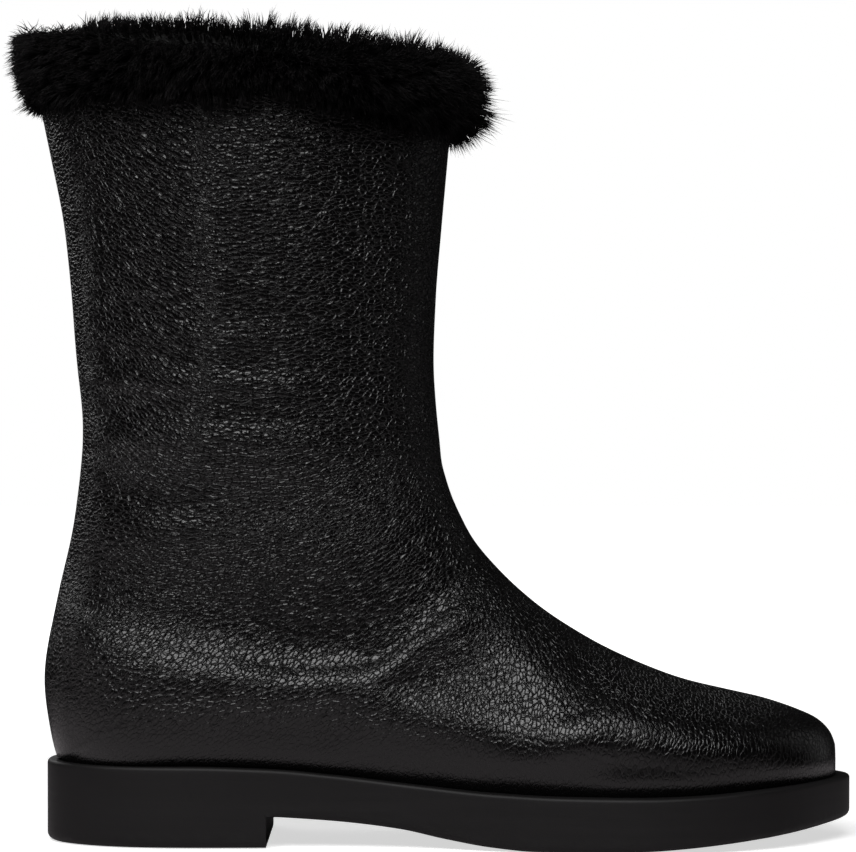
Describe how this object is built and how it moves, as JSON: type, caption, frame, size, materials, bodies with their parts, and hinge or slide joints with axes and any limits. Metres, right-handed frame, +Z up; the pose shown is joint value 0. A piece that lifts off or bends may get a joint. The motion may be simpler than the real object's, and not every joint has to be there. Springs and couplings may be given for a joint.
{
  "type": "pull-on boot",
  "caption": "Mid-calf pull-on boot for the right foot: grained leather panels, turned-over fur cuff, shearling lining and a one-piece rubber sole with a low block heel.",
  "frame": {"origin": "on the ground, under the middle of the heel", "axes": "+X to the toe, +Z up, +Y to the inner side of the foot"},
  "size_m": [0.298, 0.1332, 0.2843],
  "materials": {
    "sole_rubber": "matte, moulded",
    "heel_foam": "foamed",
    "fibre_board": "pressed fibre, matte",
    "cork": "cork, matte",
    "shank_steel": "spring steel, brushed",
    "rivet_steel": "bright",
    "cushion_foam": "foam, matte",
    "shearling": "short dense pile",
    "grained_leather": "pebbled grain, soft sheen",
    "stiffener": "resin-stiffened cloth, matte",
    "tape": "woven nylon, matte",
    "interlining_cloth": "brushed cotton, matte",
    "fur": "dense plush fur"
  },
  "bodies": {
    "root": {"back_seam_tape": "tape", "forepart_filler": "cork", "front_seam_tape": "tape", "fur_cuff": "fur", "fur_sock": "shearling", "heel_core": "heel_foam", "heel_counter": "stiffener", "insole_board": "fibre_board", "interlining_inner_side": "interlining_cloth", "interlining_outer_side": "interlining_cloth", "outsole": "sole_rubber", "shaft_lining_inner_side": "shearling", "shaft_lining_outer_side": "shearling", "shank": "shank_steel", "shank_board": "fibre_board", "shank_rivets": "rivet_steel", "sock_cushion": "cushion_foam", "toe_puff": "stiffener", "upper_inner_side": "grained_leather", "upper_outer_side": "grained_leather", "vamp_lining_inner_side": "shearling", "vamp_lining_outer_side": "shearling"}
  },
  "joints": []
}
